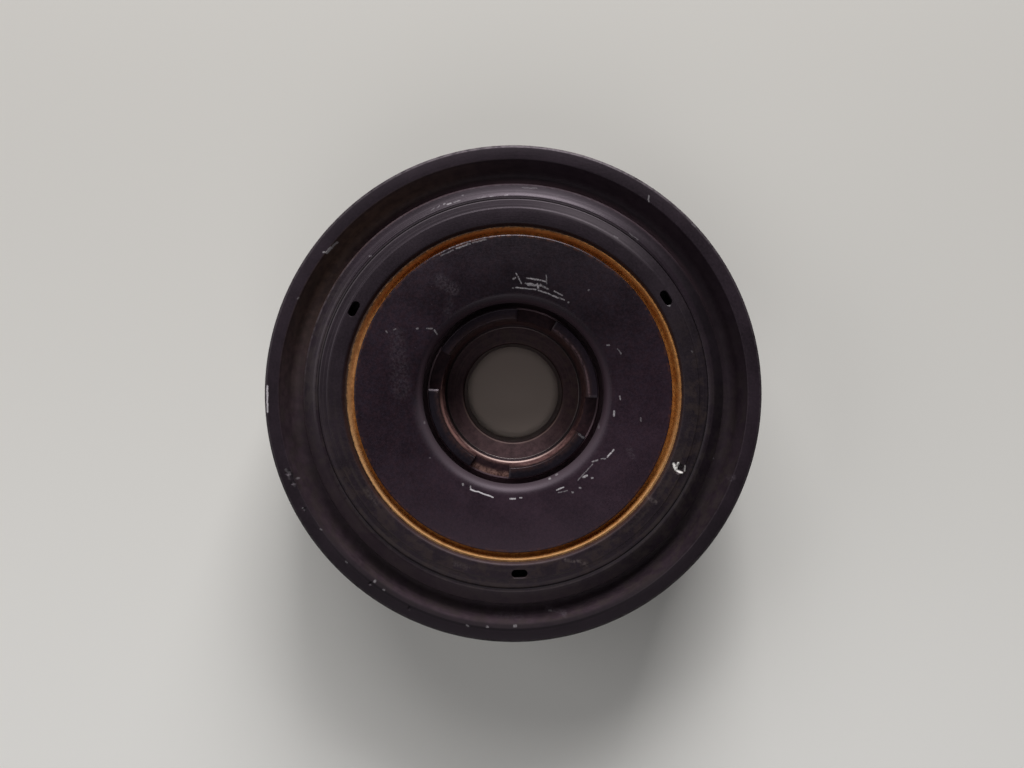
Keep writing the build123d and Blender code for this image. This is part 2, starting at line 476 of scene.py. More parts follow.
def slot_cutter(angle):
    """A wedge from the axis outwards, over one slot, a little wider at the lug faces."""
    half = radians(slot_width / 2)
    reach = 2 * barrel_radius
    flare = lug_edge_chamfer * 2
    far = place(reach * cos(half), slot_floor_depth)
    aside = Vector((0, reach * sin(half) * MM, 0))
    cutter = draw_outline("slot_cutter", [place(0, slot_floor_depth), far - aside, far + aside])
    select_mesh()
    bpy.ops.mesh.edge_face_add()
    extrude((0, 0, (slot_floor_depth - lug_front_depth - lug_edge_chamfer) * MM))
    extrude((0, 0, flare * MM))
    widening = 1 + flare / (reach * sin(half)) * 2
    bpy.ops.transform.resize(value=(1, widening, 1), center_override=(0, 0, 0))
    return close_cutter(cutter, angle)


def hub_core_piece():
    stop_rear_depth = neck_rear_depth + stop_thickness
    seat_edge_radius = bore_radius + bore_front_chamfer
    corners = [
        (bore_radius, overall_length - bore_rear_chamfer),
        (bore_radius + bore_rear_chamfer, overall_length),
        (journal_radius - journal_lead_width, overall_length),
        (journal_radius, overall_length - journal_lead_length),
        (journal_radius, stop_rear_depth, journal_root_round, 5),
        (stop_radius - stop_edge_chamfer, stop_rear_depth),
        (stop_radius, stop_rear_depth - stop_edge_chamfer),
        (stop_radius, neck_rear_depth),
        (neck_radius, neck_rear_depth),
        (neck_radius, barrel_rear_depth),
        (barrel_radius, barrel_rear_depth),
        (barrel_radius, slot_floor_depth, barrel_foot_round, 2),
        (lug_outer_radius, slot_floor_depth),
        (lug_outer_radius, lug_front_depth + lug_edge_chamfer),
        (lug_outer_radius - lug_edge_chamfer, lug_front_depth),
        (recess_front_radius, lug_front_depth, recess_front_round, 3),
        (recess_floor_radius, seat_depth, recess_floor_round, 3),
        (seat_edge_radius, seat_depth, bore_edge_round, 2),
        (bore_radius, seat_depth + bore_front_chamfer_depth),
    ]
    piece = turned("core", corners, steps=240)
    for angle in slot_angles:
        cut(piece, slot_cutter(angle))
    return piece


# dents are (x, y, reach, depth, burr)
RING_DENTS = [(55.5, -25, 1.9, 0.8, 0.12)]
RIM_DENTS = [
    (-74.5, -26.3, 1.2, 0.4, 0), (-72.9, -29.6, 1, 0.35, 0), (-47.3, -62.9, 0.8, 0.3, 0),
    (-69.1, -38.2, 0.7, 0.3, 0), (-34.4, -71.2, 0.7, 0.25, 0),
]

pulley = pulley_ring_piece()
press_dents(pulley, RIM_DENTS)
inertia = inertia_ring_piece()
press_dents(inertia, RING_DENTS)
rubber = rubber_piece()
disc = hub_disc_piece()
core = hub_core_piece()
for piece in (pulley, inertia, rubber, disc, core):
    smooth(piece)


# ---- materials ----

def rgb(red, green, blue):
    """A colour given as it looks on a screen, 0 to 255."""
    def linear(level):
        level = level / 255
        return level / 12.92 if level <= 0.04045 else ((level + 0.055) / 1.055) ** 2.4
    return (linear(red), linear(green), linear(blue), 1)


class Coat:
    """One material: its shader, where a point lies, and the masks that build up its colour.

    A value given to a node can be a socket or a number. Places are in millimetres and degrees from +X.
    """

    def __init__(self, name, specular=0.35, tint=(1, 1, 1, 1)):
        self.material = bpy.data.materials.new(name)
        self.material.use_nodes = True
        self.tree = self.material.node_tree
        self.shader = self.tree.nodes["Principled BSDF"].inputs
        self.shader["Specular IOR Level"].default_value = specular
        self.shader["Specular Tint"].default_value = tint
        self.point = self.scaled(self.add("TexCoord").outputs["Object"], 1 / MM)
        flat = self.vector("MULTIPLY", self.point, (1, 1, 0))
        wobble = self.add("TexNoise", {"Vector": flat, "Scale": 0.6, "Detail": 2.0}).outputs["Color"]
        shift = self.scaled(self.vector("SUBTRACT", wobble, (0.5, 0.5, 0.5)), 0.6)
        self.wobbled = self.vector("MULTIPLY", self.vector("ADD", flat, shift), (1, 1, 0))
        split = self.add("SeparateXYZ", {0: self.point}).outputs
        self.radius = self.vector("LENGTH", flat, out=1)
        self.angle = self.math("DEGREES", self.math("ARCTAN2", split["Y"], split["X"]))
        self.depth = self.math("SUBTRACT", overall_length, split["Z"])

    def feed(self, socket, value):
        if isinstance(value, bpy.types.NodeSocket):
            self.tree.links.new(value, socket)
        else:
            socket.default_value = value

    def add(self, kind, inputs=None, **settings):
        node = self.tree.nodes.new("ShaderNode" + kind)
        for name, value in settings.items():
            setattr(node, name, value)
        for name, value in (inputs or {}).items():
            self.feed(node.inputs[name], value)
        return node

    def math(self, operation, *values):
        return self.add("Math", dict(enumerate(values)), operation=operation).outputs[0]

    def vector(self, operation, *values, out=0):
        return self.add("VectorMath", dict(enumerate(values)), operation=operation).outputs[out]

    def scaled(self, vector, factor):
        return self.add("VectorMath", {0: vector, "Scale": factor}, operation="SCALE").outputs[0]

    def ramp(self, value, low, high, to_low=0.0, to_high=1.0):
        """A smooth step from low to high."""
        inputs = {"Value": value, "From Min": low, "From Max": high, "To Min": to_low, "To Max": to_high}
        return self.add("MapRange", inputs, interpolation_type="SMOOTHSTEP").outputs["Result"]

    def mix(self, share, low, high):
        """Mix two colours."""
        return self.add("Mix", {0: share, 6: low, 7: high}, data_type="RGBA").outputs[2]

    def blend(self, share, low, high):
        """Mix two numbers."""
        return self.add("Mix", {0: share, 2: low, 3: high}, data_type="FLOAT").outputs[0]

    def both(self, *masks):
        return reduce(lambda held, mask: self.math("MULTIPLY", held, mask), masks)

    def either(self, *masks):
        return reduce(lambda held, mask: self.math("MAXIMUM", held, mask), masks)

    def layers(self, base, *rows):
        """The base under rows that each give a colour and the masks that all have to let it through."""
        for over, *masks in rows:
            base = self.mix(self.both(*masks), base, over)
        return base

    def between(self, value, low, high, soft):
        """1 between low and high, with soft ends."""
        rise = self.ramp(value, low - soft, low + soft)
        return self.both(rise, self.ramp(value, high - soft, high + soft, 1, 0))

    def ring(self, low, high, soft):
        """1 between two radii."""
        return self.between(self.radius, low, high, soft)

    def beyond(self, low, high):
        """A step up from one radius to another."""
        return self.ramp(self.radius, low, high)

    def deeper(self, low, high):
        """A step up from one depth to another."""
        return self.ramp(self.depth, low, high)

    def above(self, depth, soft=0.2):
        """1 in front of that depth."""
        return self.ramp(self.depth, depth - soft, depth + soft, 1, 0)

    def arc(self, middle, half, soft):
        """1 within half degrees of the middle, whichever way round."""
        turn = self.math("ADD", self.math("SUBTRACT", self.angle, middle), 180)
        away = self.math("SUBTRACT", self.math("FLOORED_MODULO", turn, 360), 180)
        return self.ramp(self.math("ABSOLUTE", away), half - soft, half + soft, 1, 0)

    def noise(self, scale, detail, roughness, where=None):
        where = self.point if where is None else where
        inputs = {"Vector": where, "Scale": scale, "Detail": detail, "Roughness": roughness}
        return self.add("TexNoise", inputs).outputs["Fac"]

    def patches(self, scale, low, high, roughness=0.6):
        """Uneven patches, 0 to 1."""
        return self.ramp(self.noise(scale, 4, roughness), low, high)

    def ragged_radius(self, scale, swing):
        """The radius, made uneven by swing millimetres in all."""
        uneven = self.math("SUBTRACT", self.noise(scale, 4, 0.7), 0.5)
        return self.math("ADD", self.radius, self.both(uneven, swing))

    def turning(self, pitch):
        """Fine rings left by the lathe, 0 to 1."""
        across = self.math("DIVIDE", self.math("ADD", self.radius, self.depth), pitch)
        along = self.both(self.math("SINE", self.math("RADIANS", self.angle)), 0.6)
        return self.noise(1, 2, 0.6, self.add("CombineXYZ", {0: across, 1: along}).outputs[0])

    def speckle(self, scale, share, size):
        """Sparse round spots: share of the cells have one, size is its radius as a share of a cell."""
        cells = self.add("TexVoronoi", {"Vector": self.point, "Scale": scale}).outputs
        pick = self.add("SeparateColor", {0: cells["Color"]}).outputs[0]
        spot = self.ramp(cells["Distance"], size / 2, size, 1, 0)
        return self.both(spot, self.math("LESS_THAN", pick, share))

    def lines(self, marks):
        """How strong the marks are; each is (start x, start y, end x, end y, width, strength)."""
        mask = 0.0
        for start_x, start_y, end_x, end_y, width, strength in marks:
            start = Vector((start_x, start_y, 0))
            along = Vector((end_x, end_y, 0)) - start
            reach = self.vector("SUBTRACT", self.wobbled, start)
            share = self.vector("DOT_PRODUCT", reach, along / along.length_squared, out=1)
            on_line = self.add("Clamp", {"Value": share}).outputs[0]
            away = self.vector("SUBTRACT", reach, self.scaled(along, on_line))
            distance = self.math("DIVIDE", self.vector("LENGTH", away, out=1), width)
            mask = self.either(self.ramp(distance, 0.3, 1, strength, 0), mask)
        return mask

    def scratches(self, marks, breaks=0.44):
        """Broken lines; breaks is how much of them is missing."""
        held = self.ramp(self.noise(2.2, 3, 0.7), breaks - 0.15, breaks + 0.15)
        return self.both(self.lines(marks), held)

    def smudges(self, marks):
        """Soft uneven spots along lines."""
        return self.both(self.lines(marks), self.patches(1.1, 0.38, 0.68, 0.75))

    def relief(self, share, pitch, *grain):
        """A height from turned rings and, as far as share says, from grain."""
        return self.blend(share, self.turning(pitch), self.noise(*grain))

    def close(self, base, roughness, metallic=0.0, height=None, bump_mm=0.02):
        """Feed the shader; returns the material."""
        self.feed(self.shader["Base Color"], base)
        self.feed(self.shader["Roughness"], roughness)
        self.feed(self.shader["Metallic"], metallic)
        if height is not None:
            bump = self.add("Bump", {"Height": height, "Distance": bump_mm * MM})
            self.feed(self.shader["Normal"], bump.outputs["Normal"])
        return self.material


# ---- colours that several finishes share ----

bare_scratch = rgb(205, 199, 203)
# faded marks, also used for painted highlights
faded_mark_and_highlight = rgb(92, 84, 90)
# worn paint, also used for painted highlights
worn_paint_and_highlight = rgb(120, 112, 116)
shadow_black = rgb(8, 6, 8)
dust_brown = rgb(92, 72, 62)
dust_mauve = rgb(62, 50, 56)
dust_olive = rgb(52, 46, 42)
rust_orange = rgb(158, 96, 40)
rust_dark = rgb(96, 52, 20)
rust_pale = rgb(204, 160, 112)
plain_steel = rgb(96, 92, 90)
painted_gap_light = rgb(110, 92, 98)
paint_sheen = (1, 0.84, 0.96, 1)


def black_paint(coat, dark, light):
    """Uneven black paint; returns its colour and how far it tends to the lighter tone."""
    broad = coat.patches(0.07, 0.35, 0.68)
    fine = coat.patches(1.3, 0.32, 0.7, 0.8)
    tone = coat.blend(0.6, broad, fine)
    return coat.mix(tone, dark, light), tone


# ---- hub disc ----

# a mark is (start x, start y, end x, end y, width, strength), from the axis, +Y towards the top lug slot
DISC_SCRATCHES = [
    (1, 40.1, 2.7, 36.8, 0.3, 0.32), (0, 38.2, 0.6, 38.6, 0.42, 0.34), (4.6, 38.6, 7.2, 38.1, 0.36, 0.42),
    (7.2, 38.1, 10.8, 37.4, 0.36, 0.34), (11, 39.6, 11.2, 36.6, 0.26, 0.2),
    (4.1, 36.8, 8.2, 36.2, 0.42, 0.36), (4.8, 36.2, 9.2, 35.9, 0.34, 0.28), (8, 36.6, 8.4, 34.7, 0.42, 0.4),
    (9, 36.3, 11.6, 34.8, 0.42, 0.22), (0.9, 35.4, 3.4, 35.1, 0.34, 0.36),
    (3.8, 35.1, 7.5, 34.7, 0.32, 0.32), (8.4, 34.5, 12.5, 33, 0.34, 0.36),
    (12.9, 32.7, 17, 31.2, 0.36, 0.32), (13.7, 34.1, 16.4, 32.8, 0.36, 0.26),
    (-0.1, 35.3, 0.1, 35.3, 0.3, 0.25), (-14.3, -30.9, -14.2, -31.9, 0.32, 0.6),
    (-1.1, -35, 0.7, -35, 0.4, 0.9), (2.2, -34.8, 2.8, -34.8, 0.34, 0.6),
    (-16.8, -30.2, -16.6, -30.6, 0.42, 0.6), (33.5, -18.7, 31.4, -21.2, 0.36, 0.9),
    (29.4, -21.8, 30.8, -21.7, 0.28, 0.35), (26.5, -22.7, 28.2, -22.2, 0.36, 0.45),
    (26.5, -23.5, 21.5, -29, 0.26, 0.28), (23.3, -27.9, 24.6, -27.3, 0.45, 0.75),
    (26.2, -28.1, 26.5, -28.1, 0.42, 0.5), (14.5, -32.2, 16.8, -31.2, 0.32, 0.85),
    (15, -33, 18.1, -32.4, 0.26, 0.28), (19.6, -32.8, 19.9, -32.8, 0.42, 0.5),
    (22.1, -31.5, 22.4, -31.5, 0.4, 0.38), (12.1, -28.6, 12.4, -28.5, 0.42, 0.38),
    (14.3, -27.4, 14.8, -27.1, 0.38, 0.3), (-9, 51.5, -13.5, 50.4, 0.34, 0.22),
    (-14.5, 49.9, -19, 48.4, 0.4, 0.34), (-20, 47.9, -24, 46, 0.32, 0.2),
]
DISC_SPECKS = [
    (33.6, -5.9, 33.6, -7.4, 0.38, 0.5), (35.6, -0.9, 35.7, -1.9, 0.36, 0.32),
    (28.6, -8, 28.7, -11.5, 0.5, 0.12), (42.6, -8.2, 42.6, -9.2, 0.34, 0.18),
    (31.4, 16.1, 32, 16.1, 0.36, 0.22), (34.8, 14.9, 36, 13.3, 0.28, 0.16),
    (25.1, 34.4, 25.3, 34.5, 0.34, 0.18), (-29.8, -9.5, -29.7, -9.9, 0.38, 0.16),
    (-27.8, -21.4, -27.6, -21.4, 0.34, 0.16), (-42.4, 20.8, -42, 20.4, 0.38, 0.22),
    (-32.1, 21.6, -31.8, 21.7, 0.38, 0.22), (-28.8, 21.8, -27, 21.7, 0.34, 0.2),
    (-26.3, 21.2, -25.4, 19.8, 0.34, 0.24), (-39.8, 21.3, -39.2, 21.5, 0.34, 0.16),
    (18.3, 30.5, 18.5, 30.4, 0.36, 0.15),
]
DISC_LONG_SCRATCH = [(-14.2, -31.9, -6.8, -34.5, 0.32, 1)]
DISC_SMUDGES = [
    (-24.4, 37.8, -20.1, 34.8, 3.2, 1), (-38.8, 19, -37.5, 1, 4.4, 0.7), (38.6, -18.2, 39.9, -21.2, 1.4, 1),
    (-21, 31, -22, 27, 2.2, 0.5),
]


def disc_finish():
    coat = Coat("disc_black_paint", tint=paint_sheen)
    hue = coat.patches(0.5, 0.35, 0.65, 0.7)
    dark = coat.mix(hue, rgb(16, 11, 16), rgb(21, 11, 16))
    light = coat.mix(hue, rgb(33, 24, 35), rgb(40, 24, 32))
    base, tone = black_paint(coat, dark, light)
    on_face = coat.above(disc_face_depth + 0.3)
    on_lip = coat.above(lip_rear_depth + 0.5)
    painted_table_sheen = coat.mix(tone, rgb(42, 31, 40), rgb(60, 44, 54))
    rubbed_edge = coat.both(coat.ring(flange_radius - 0.5, flange_radius - 0.1, 0.15),
                            coat.arc(100, 19, 6), coat.patches(1.6, 0.45, 0.62), on_face)
    scratches = coat.scratches(DISC_SCRATCHES)
    specks = coat.scratches(DISC_SPECKS, 0.38)
    long_scratch = coat.scratches(DISC_LONG_SCRATCH, 0.3)
    marks = coat.either(scratches, specks, long_scratch, coat.both(rubbed_edge, 0.25))
    marks = coat.both(marks, on_lip)
    roughness = coat.blend(on_face, 0.5, coat.blend(tone, 0.32, 0.46))
    height = coat.relief(0.5, 0.35, 2.2, 3, 0.6)
    base = coat.layers(
        base,
        # painted reflection of the bright table below, painted shade above
        (painted_table_sheen, coat.arc(290, 65, 50), 0.65),
        (shadow_black, coat.arc(75, 45, 40), 0.6),
        # lip
        (rgb(60, 47, 54), coat.ring(lip_radius - 1, lip_radius + 1.4, 0.7), on_lip, 0.8),
        # wear round the hub, lighter on the lower side as a painted highlight where the lip faces the lamp
        (faded_mark_and_highlight, coat.ring(lip_radius - 1, lip_radius + 2.6, 1.6), coat.arc(262, 76, 14), on_lip, 0.27),
        # painted light in the gap between disc and lugs, which lies in shade
        (painted_gap_light, coat.ramp(coat.radius, relief_radius + 0.1, relief_radius + 0.3, 1, 0),
         coat.deeper(lip_rear_depth - 0.2, lip_rear_depth + 0.3)),
        # smudges
        (faded_mark_and_highlight, coat.smudges(DISC_SMUDGES), on_face, 0.28),
        # dusty outer edge
        (rust_dark, coat.ring(flange_radius - 1, far_out, 0.4), coat.patches(0.6, 0.45, 0.65), 0.3),
        # rust beside the rubber
        (rust_orange, coat.deeper(disc_face_depth + 0.5, disc_face_depth + 1.2),
         coat.beyond(flange_radius - 0.3, flange_radius - 0.1)),
        # grit
        (faded_mark_and_highlight, coat.speckle(0.55, 0.1, 0.09), on_face, 0.35),
        (bare_scratch, marks),
    )
    return coat.close(base, roughness, 0, height, 0.03)


# ---- pulley ring ----

# bare paint chips, and painted highlights on the edges of the rim dents
RIM_CHIPS_AND_GLINTS = [
    (44.9, 65.6, 44.9, 63.6, 0.32, 0.28), (-75.3, -25.2, -74, -26.6, 0.7, 0.1),
    (-74.6, -27.2, -74.2, -28.2, 0.6, 0.05), (-71.9, -28.1, -71.7, -28.3, 0.4, 0.2),
    (-72.9, -29.6, -72.5, -30.4, 0.7, 0.05), (-69.8, -37.9, -69.5, -38.1, 0.38, 0.2),
    (-63.8, -44.9, -63.5, -45.1, 0.38, 0.16), (-46.1, -62.2, -45.8, -62.4, 0.4, 0.24),
    (-43.1, -64.9, -42.7, -65.1, 0.38, 0.15), (-55.4, -55.6, -55, -55.9, 0.4, 0.12),
    (-8.8, -77.3, -8.3, -77.3, 0.36, 0.18), (0.2, -77.3, 1, -77.3, 0.38, 0.18),
    (12.2, -73.9, 12.9, -73.9, 0.4, 0.18), (-15.4, -76.6, -14.9, -77, 0.42, 0.16),
    (68, -21.8, 68.3, -22.3, 0.4, 0.15), (-71.4, 31.4, -71.1, 31.7, 0.36, 0.14),
    (-62.9, 46.9, -62.6, 46.9, 0.42, 0.38), (59.2, 56.1, 60.2, 55.2, 0.3, 0.12),
    (-81.5, 2.6, -81.4, -6, 0.46, 0.85),
]
RIM_LONG_SCUFF = [(-58.5, 50.5, -60.4, 48.5, 0.28, 0.5), (-60.4, 48.5, -62, 46.7, 0.4, 0.8)]
RIDGE_SCUFFS = [
    (-27.3, 61.2, -26.4, 62, 0.28, 0.18), (-25.2, 62.2, -24.6, 62.9, 0.26, 0.2),
    (-23.3, 63.2, -22.8, 63.5, 0.36, 0.34), (-22, 63.2, -20.8, 63.6, 0.36, 0.42),
    (-19.8, 63.9, -17.6, 64.6, 0.28, 0.24), (-17.2, 66.4, -16.8, 66.5, 0.42, 0.28),
    (-7.6, 65.8, -6.6, 65.9, 0.32, 0.25), (-2.8, 66.1, -1.9, 66.2, 0.36, 0.28),
    (-11.8, 65.2, -9.2, 65.6, 0.26, 0.18), (-48, 45.9, -47.4, 46, 0.36, 0.24),
    (38.8, 53.4, 41.6, 51.2, 0.3, 0.14), (3, 69.1, 8, 68.8, 0.26, 0.2),
]
# painted shadows in the rim dents
RIM_DENT_SHADOWS = [
    (-73.4, -26.3, -73, -27.6, 0.5, 0.9), (-73.7, -29.4, -73.6, -30.3, 0.45, 0.8),
    (-47.5, -63, -47.1, -63.4, 0.7, 0.9), (-69.2, -38.2, -68.8, -38.7, 0.6, 0.9),
    (-34.9, -71, -33.9, -71.4, 0.7, 0.8),
]
WALL_SMEARS = [
    (11.2, -73.2, 17.5, -74.2, 1, 1), (72.2, -28.4, 73.2, -27.6, 1.2, 0.6),
    (-53, -51, -51, -53.5, 1.2, 0.5), (-6, -75, 3, -75.5, 1.2, 0.6),
]


def lathe_lines(coat, low, high, share):
    """How far a turned face tends to its lighter turning lines between two radii."""
    lines = coat.both(coat.ramp(coat.turning(0.45), 0.48, 0.72), coat.ring(low, high, 0.3))
    return coat.both(lines, share)


def pulley_finish():
    coat = Coat("pulley_black_paint", tint=paint_sheen)
    base, tone = black_paint(coat, rgb(17, 11, 16), rgb(35, 25, 33))
    front = coat.above(front_valley_depth + 2.6, 0.5)
    rim_front = coat.above(rim_chamfer_depth + 1, 0.4)
    inside_rim = coat.both(coat.ring(0, rim_inner_radius + 0.3, 0.2), front)
    valley_hue = coat.mix(coat.arc(135, 30, 30), dust_mauve, dust_brown)
    ridge = coat.both(coat.ring(joint_radius, ridge_outer_radius, 0.4), front)
    low_side = coat.arc(262, 75, 25)
    lit_side = coat.arc(115, 60, 20)
    joint_edge = coat.both(coat.ring(joint_radius - 1, joint_radius + 0.5, 0.15), front)
    shaded_joint_edge = coat.both(joint_edge, coat.arc(280, 70, 20))
    crest = coat.both(coat.ring(joint_radius, joint_radius + 2, 0.2), front)
    shaded_wall_top = coat.both(
        coat.ring(rim_inner_radius - 0.7, rim_inner_radius + 1, 0.3), coat.arc(262, 45, 20), front
    )
    rim_edge = coat.both(
        coat.ring(pulley_radius - 0.9, far_out, 0.15), rim_front, coat.patches(0.5, 0.3, 0.6)
    )
    scuffs = coat.both(coat.scratches(RIDGE_SCUFFS), front)
    on_rim = coat.either(rim_front, inside_rim)
    rim_marks = coat.either(coat.scratches(RIM_CHIPS_AND_GLINTS, 0.38), coat.scratches(RIM_LONG_SCUFF, 0.15))
    chips_and_glints = coat.both(rim_marks, on_rim)
    belt_depth = front_flange_width + rib_pitch * rib_count / 2
    belt_reach = rib_pitch * rib_count / 2 + rib_tip_drop
    belt = coat.both(coat.ring(pulley_radius - rib_tip_drop - groove_depth - 0.4, far_out, 0.2),
                     coat.between(coat.depth, belt_depth - belt_reach, belt_depth + belt_reach, 0.2))
    roughness = coat.blend(crest, coat.blend(tone, 0.44, 0.6), 0.38)
    roughness = coat.blend(coat.either(shaded_joint_edge, shaded_wall_top), roughness, 0.9)
    roughness = coat.blend(belt, roughness, 0.34)
    height = coat.relief(0.45, 0.4, 1.6, 4, 0.65)
    base = coat.layers(
        base,
        # painted shade on the rim below
        (shadow_black, coat.ring(rim_inner_radius - 0.3, far_out, 0.2), coat.arc(272, 58, 28), 0.62),
        # streaky dust in the valley
        (valley_hue, coat.ring(ridge_outer_radius - 0.3, rim_inner_radius, 0.5), front,
         coat.blend(coat.patches(0.3, 0.35, 0.65, 0.7), 0.55, 1), coat.blend(coat.turning(0.9), 0.7, 1.2),
         coat.blend(coat.arc(200, 95, 35), 0.35, 0.9)),
        # painted light on the valley floor at the foot of the ridge, on the upper side
        (rgb(112, 90, 98), coat.ring(ridge_outer_radius - 0.2, ridge_outer_radius + 2.2, 0.9),
         coat.arc(85, 50, 22), front, 0.9),
        # olive dust on the ridge
        (dust_olive, ridge, coat.patches(0.3, 0.35, 0.75), low_side, 0.5),
        # blotches
        (dust_olive, coat.ring(joint_radius, rim_inner_radius, 0.4), coat.patches(0.16, 0.46, 0.58, 0.7),
         front, coat.arc(255, 110, 30), 0.4),
        # painted light from below on the lower left of the shoulder
        (dust_mauve, coat.ring(joint_radius + 1.2, ridge_outer_radius, 0.6), coat.arc(245, 48, 18), front,
         0.45),
        # turning lines, shown on the lit side as a painted sheen
        (faded_mark_and_highlight, lathe_lines(coat, joint_radius, ridge_outer_radius, 0.45), lit_side),
        # painted shade on the right of the shoulder
        (shadow_black, coat.ring(joint_radius + 2.2, ridge_outer_radius + 0.3, 0.5), coat.arc(12, 30, 15),
         front, 0.65),
        # joint edge: painted highlight on the lit side, painted shade on the lower side
        (worn_paint_and_highlight, joint_edge, lit_side, 0.22),
        (shadow_black, shaded_joint_edge, 0.85),
        (worn_paint_and_highlight, crest, coat.arc(335, 50, 30), 0.05),
        # painted shade over the lower edge of the rim wall
        (shadow_black, shaded_wall_top, 0.7),
        # edge wear, stronger at the top as a painted highlight
        (worn_paint_and_highlight, rim_edge, coat.blend(coat.arc(85, 35, 22), 0.12, 0.5)),
        # worn outer edge of the ridge, shown on the lit upper side as a painted highlight
        (faded_mark_and_highlight, coat.ring(ridge_outer_radius - 0.75, ridge_outer_radius - 0.25, 0.15),
         coat.above(front_valley_depth - 2.5, 0.5), coat.arc(115, 60, 15), coat.patches(0.5, 0.38, 0.6),
         0.5),
        # smears
        (faded_mark_and_highlight, coat.smudges(WALL_SMEARS), front, 0.5),
        (bare_scratch, coat.either(scuffs, chips_and_glints)),
        # painted shadows in the rim dents
        (shadow_black, coat.scratches(RIM_DENT_SHADOWS, 0.3), on_rim),
        (coat.mix(coat.turning(0.2), rgb(46, 42, 42), rgb(84, 80, 79)), belt),
    )
    return coat.close(base, roughness, coat.both(belt, 0.7), height, 0.04)


# ---- inertia ring ----

CRATER_WALLS = [
    (53.5, -23.6, 54.2, -25.2, 0.75, 1), (55, -23.2, 54.4, -24.7, 0.55, 1),
    (54.3, -25.6, 56.2, -26.4, 0.5, 1), (57.3, -24, 57.1, -25.6, 0.38, 0.4),
]
CRATER_DARK = [(55.4, -25, 56.1, -24.2, 1.1, 1)]
RING_SCRATCHES = [
    (51.5, 29.5, 52.2, 29.2, 0.45, 0.35), (33.6, 52.6, 35, 51.8, 0.32, 0.15),
    (59.4, 14.2, 59.7, 13.9, 0.34, 0.1),
]
RING_SMUDGES = [
    (17.5, -55.4, 20.2, -56, 0.9, 1), (21.6, -55.6, 24.5, -57, 0.9, 0.9),
    (44.9, -34.4, 47.2, -36.2, 1.2, 0.9), (-20, -56.5, -15, -58.2, 1.2, 0.5),
    (-49, -32, -45.5, -36.5, 1.3, 0.5),
]


def ring_finish():
    coat = Coat("ring_black_paint", tint=paint_sheen)
    base, tone = black_paint(coat, rgb(16, 10, 15), rgb(33, 24, 31))
    front = coat.above(bore_lip_depth + ring_face_depth + 3, 1)
    lit_side = coat.arc(115, 60, 20)
    joint_edge = coat.both(coat.ring(joint_radius - 0.5, far_out, 0.15), front)
    shaded_joint_edge = coat.both(joint_edge, coat.arc(280, 70, 20))
    low_side = coat.arc(268, 80, 25)
    streaks = coat.ramp(coat.turning(1.1), 0.4, 0.7)
    ragged_radius = coat.ragged_radius(0.6, 1.2)
    halo_edge = coat.blend(coat.arc(262, 82, 25), rubber_outer_radius + 1.3, rubber_outer_radius + 2.2)
    rust_line = coat.ramp(ragged_radius, rubber_outer_radius + 0.1, rubber_outer_radius + 0.6, 1, 0)
    rust = coat.mix(coat.patches(0.7, 0.3, 0.7, 0.75), rust_orange, rust_pale)
    base = coat.layers(
        base,
        # turning lines, stronger on the lit side as a painted sheen
        (faded_mark_and_highlight, lathe_lines(coat, joint_radius - land_width, far_out, 0.45),
         coat.blend(lit_side, 0.35, 1)),
        # joint edge: painted highlight on the lit side, painted shade on the lower side
        (worn_paint_and_highlight, joint_edge, lit_side, 0.22),
        (shadow_black, shaded_joint_edge, 0.85),
        # painted shade on the right side
        (shadow_black, coat.arc(5, 32, 22), 0.45),
        # painted highlight on the land at the top
        (worn_paint_and_highlight, coat.ring(joint_radius - land_width - 0.6, joint_radius - 0.6, 0.3),
         coat.arc(65, 15, 12), front, 0.22),
        # olive dust
        (dust_olive, coat.ring(ring_face_outer_radius - 3, far_out, 2), streaks,
         coat.patches(0.15, 0.35, 0.6), low_side, front, 0.6),
        # blotches
        (rgb(52, 42, 36), coat.patches(0.22, 0.46, 0.6, 0.7), coat.arc(285, 90, 25), front, 0.4),
        # smudges
        (rgb(104, 94, 92), coat.smudges(RING_SMUDGES), front, 0.5),
        # dust round the rubber
        (rgb(112, 78, 60),
         coat.ramp(ragged_radius, coat.math("SUBTRACT", halo_edge, 1.5), halo_edge, 1, 0), 0.14),
        # rust stain
        (rgb(66, 40, 30),
         coat.ramp(ragged_radius, rubber_outer_radius + 0.5, rubber_outer_radius + 1.8, 1, 0), 0.3),
    )
    rust = coat.layers(rust, (rust_dark, coat.deeper(bore_lip_depth + 0.6, bore_lip_depth + 2.4)))
    crater_bare = coat.both(coat.scratches(CRATER_WALLS, 0.34), front)
    roughness = coat.blend(rust_line, coat.blend(tone, 0.44, 0.6), 0.85)
    roughness = coat.blend(shaded_joint_edge, roughness, 0.9)
    height = coat.relief(0.45, 0.4, 1.6, 4, 0.65)
    height = coat.math("ADD", height, coat.both(rust_line, coat.noise(3.5, 3, 0.7)))
    base = coat.layers(
        base,
        (rust, rust_line),
        (bare_scratch, coat.scratches(RING_SCRATCHES), front),
        (shadow_black, coat.lines(CRATER_DARK), front),
        (rgb(226, 222, 218), crater_bare),
        # painted shade inside the pockets
        (rgb(10, 7, 9), coat.ring(pocket_radius - 2, pocket_radius + 2, 0.2),
         coat.math("SUBTRACT", 1, crater_bare),
         coat.deeper(ring_face_depth + 0.9, ring_face_depth + 2)),
    )
    return coat.close(base, roughness, 0, height, 0.05)


# ---- rubber ring ----

